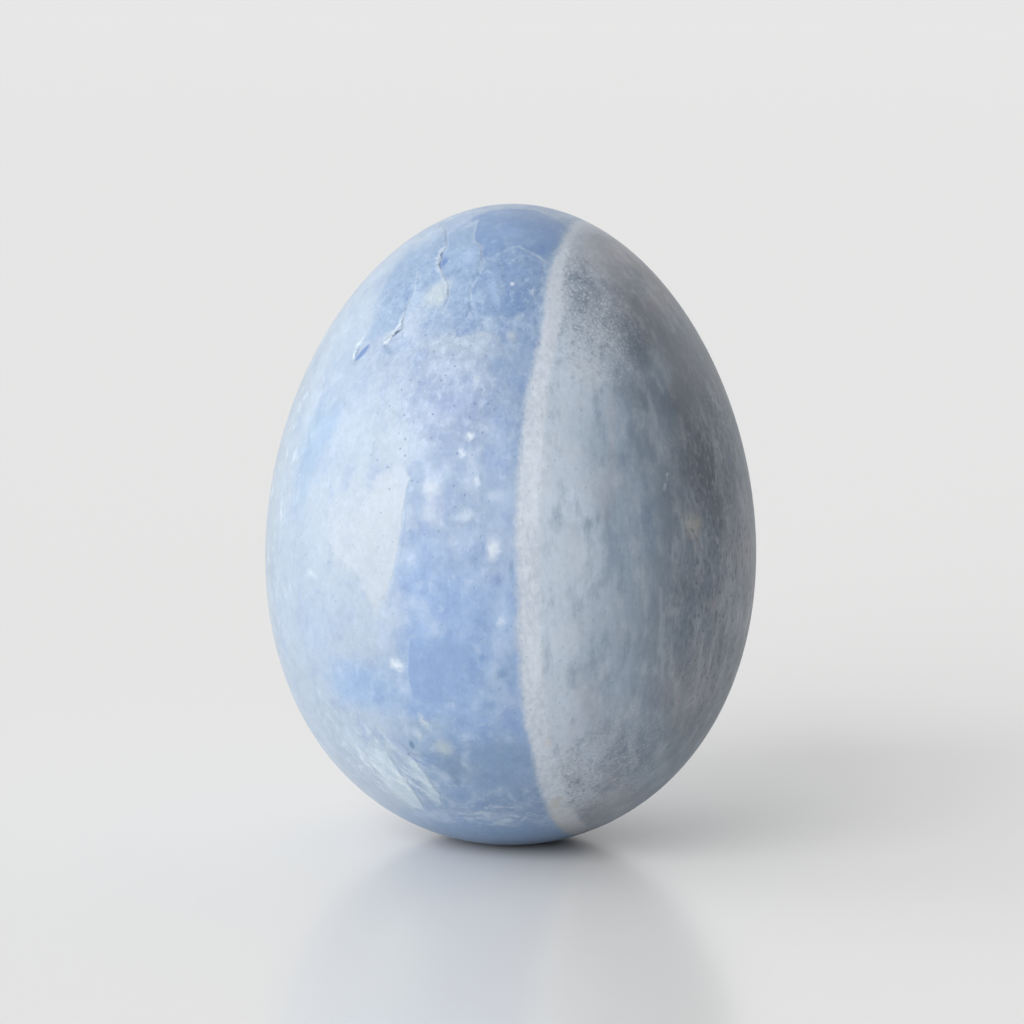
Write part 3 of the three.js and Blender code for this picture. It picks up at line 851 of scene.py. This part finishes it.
# The relief, a small part of a millimetre: raised panes, pits and a fine grain.
smooth = add_node("MapRange", {"Value": pits, "From Min": 0.06, "From Max": 0.14})
relief = add_node("Math", {0: fine, 1: 0.5, 2: smooth}, operation="MULTIPLY_ADD")
relief = add_node("Math", {0: raised, 1: 0.8, 2: relief}, operation="MULTIPLY_ADD")
bump = add_node("Bump", {"Strength": 0.3, "Distance": 0.00012, "Height": relief})
skin = add_node(
    "BsdfPrincipled",
    {
        "Base Color": colour,
        "Roughness": 0.45,
        "IOR": 1.52,
        "Sheen Weight": 0.12,
        "Sheen Roughness": 0.4,
        "Normal": bump,
    },
)
add_node("OutputMaterial", {"Surface": skin})
for piece in (sky_side, vein, slate_side):
    piece.data.materials.append(stone)


# The floor that the egg stands on: a plain pale table top with a soft gloss.

bpy.ops.mesh.primitive_plane_add(size=12, location=(0, 0, 0))
floor = bpy.context.object
floor.name = "floor"
table_top = bpy.data.materials.new("pale_table_top")
table_top.use_nodes = True
table_skin = table_top.node_tree.nodes["Principled BSDF"]
table_skin.inputs["Base Color"].default_value = (0.74, 0.74, 0.735, 1)
table_skin.inputs["Roughness"].default_value = 0.2
floor.data.materials.append(table_top)


# The light: a broad window to the front left, a weaker one to the left, and a pale room that
# is brighter behind the egg than in front of it to the right.

CAMERA_TURN = 16.8  # degrees round from the front towards +X


def window(name, turn, lift, width, strength):
    """A window as a lamp far away: turn in degrees round from the front towards +X, lift in
    degrees above level, the width in degrees that it fills as the egg sees it, and strength."""
    lamp = bpy.data.lights.new(name, "SUN")
    lamp.angle = math.radians(width)
    lamp.energy = strength
    light = bpy.data.objects.new(name, lamp)
    a, e = math.radians(turn), math.radians(lift)
    toward = Vector((math.sin(a) * math.cos(e), -math.cos(a) * math.cos(e), math.sin(e)))
    light.location = Vector((0, 0, MIDDLE)) + toward
    light.rotation_euler = toward.to_track_quat("Z", "Y").to_euler()
    bpy.context.scene.collection.objects.link(light)


window("front_window", CAMERA_TURN - 38, 24, 50, 3.0)
window("side_window", CAMERA_TURN - 95, 14, 60, 1.3)

# The room's light rises from its dim side to its bright one, and its wall is an even pale grey.
ROOM_TURN = CAMERA_TURN - 165  # degrees to its bright side, behind the egg
ROOM_DIM, ROOM_BRIGHT, ROOM_WALL = 0.1, 0.8, 0.75
room = bpy.data.worlds.new("pale_room")
bpy.context.scene.world = room
room.use_nodes = True
room.node_tree.nodes.clear()
a = math.radians(ROOM_TURN)
brightest = (math.sin(a) * 0.96, -math.cos(a) * 0.96, 0.28)  # 16 degrees up
way = add_node("TexCoord", {}, "Generated", room.node_tree)
facing = add_node(
    "VectorMath", {0: way, 1: brightest}, "Value", room.node_tree, operation="DOT_PRODUCT"
)
glow = add_node(
    "MapRange",
    {
        "Value": facing,
        "From Min": -0.8,
        "From Max": 0.8,
        "To Min": ROOM_DIM,
        "To Max": ROOM_BRIGHT,
    },
    tree=room.node_tree,
    interpolation_type="SMOOTHSTEP",
)
in_view = add_node("LightPath", {}, "Is Camera Ray", room.node_tree)
strength = add_node("Mix", {0: in_view, 2: glow, 3: ROOM_WALL}, 0, room.node_tree)
walls = add_node(
    "Background", {"Color": (1, 1, 1, 1), "Strength": strength}, 0, room.node_tree
)
add_node("OutputWorld", {"Surface": walls}, 0, room.node_tree)
bpy.context.scene.view_settings.view_transform = "Standard"


# The camera, level with the upper half of the egg, looking a little down on it.

CAMERA_LIFT = 8  # degrees
CAMERA_DISTANCE = 0.52
CAMERA_ROLL = 0.011  # radians
PICTURE = 1024  # pixels across
BLANK_MIDDLE = (511.1, 525.3)  # where the middle of the blank shows, in pixels
lens = bpy.data.cameras.new("camera")
lens.lens = 163.1
lens.sensor_width = 36
camera = bpy.data.objects.new("camera", lens)
bpy.context.scene.collection.objects.link(camera)
az, el = math.radians(CAMERA_TURN), math.radians(CAMERA_LIFT)
forward = Vector((-math.sin(az) * math.cos(el), math.cos(az) * math.cos(el), -math.sin(el)))
right = Vector((math.cos(az), math.sin(az), 0))
turn = Matrix((right, right.cross(forward), -forward)).transposed().to_4x4()
place = Matrix.Translation(Vector((0, 0, MIDDLE)) - forward * CAMERA_DISTANCE)
camera.matrix_world = place @ turn @ Matrix.Rotation(CAMERA_ROLL, 4, "Z")
lens.shift_x = (PICTURE / 2 - BLANK_MIDDLE[0]) / PICTURE
lens.shift_y = (BLANK_MIDDLE[1] - PICTURE / 2) / PICTURE
bpy.context.scene.camera = camera
